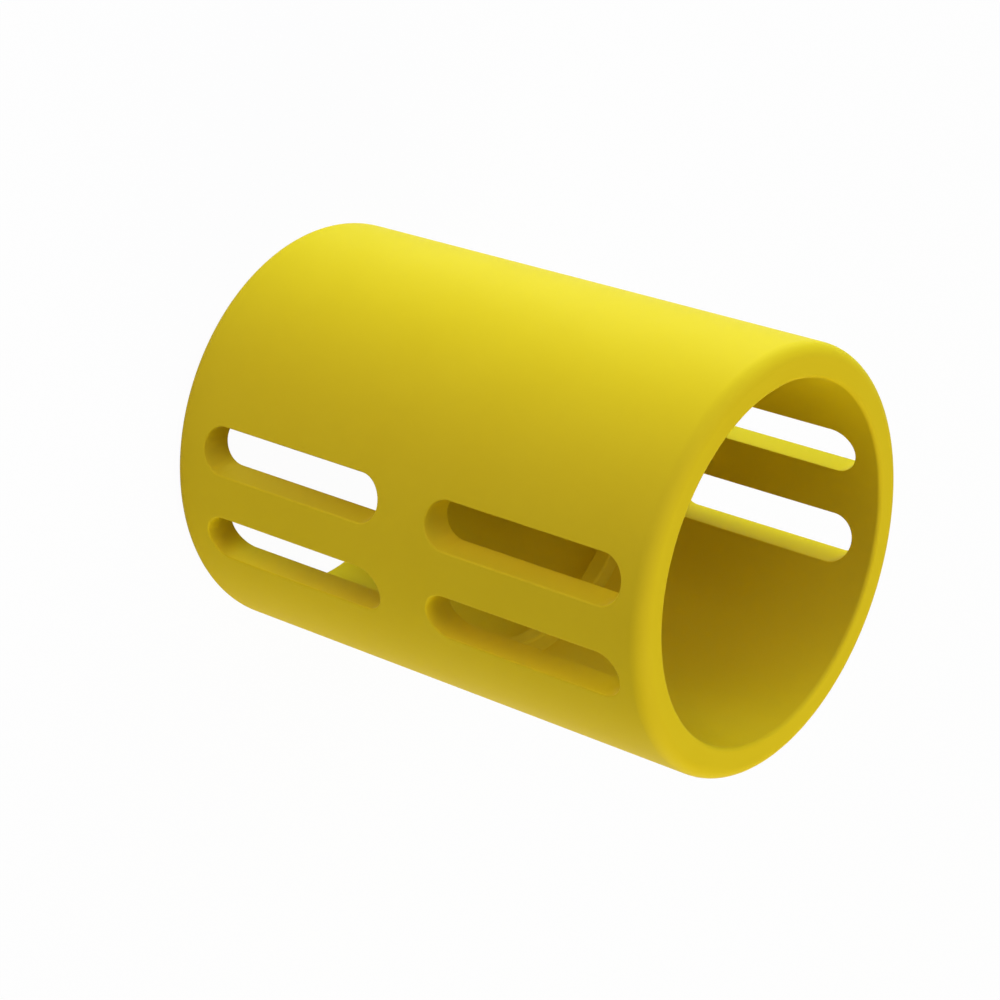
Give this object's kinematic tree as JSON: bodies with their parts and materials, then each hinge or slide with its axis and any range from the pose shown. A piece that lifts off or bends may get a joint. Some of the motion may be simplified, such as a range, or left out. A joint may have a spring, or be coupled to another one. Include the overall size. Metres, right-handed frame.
{
  "type": "pvc pipe coupling",
  "caption": "Straight sleeve that joins plain pipes end to end, with rounded ends, an inner stop ring and long round-ended slots through opposite sides of its wall.",
  "frame": {"origin": "centre of the lower end, on the pipe axis, in the plane that the sleeve stands on", "axes": "+Z along the pipe axis to the upper end, which the slots lie a little nearer to; Y through the slots of both walls; X across the slot rows"},
  "size_m": [0.06, 0.06, 0.0824],
  "materials": {
    "yellow_pvc": "smooth moulded, satin gloss"
  },
  "bodies": {
    "root": {"coupling_sleeve": "yellow_pvc"}
  },
  "joints": []
}
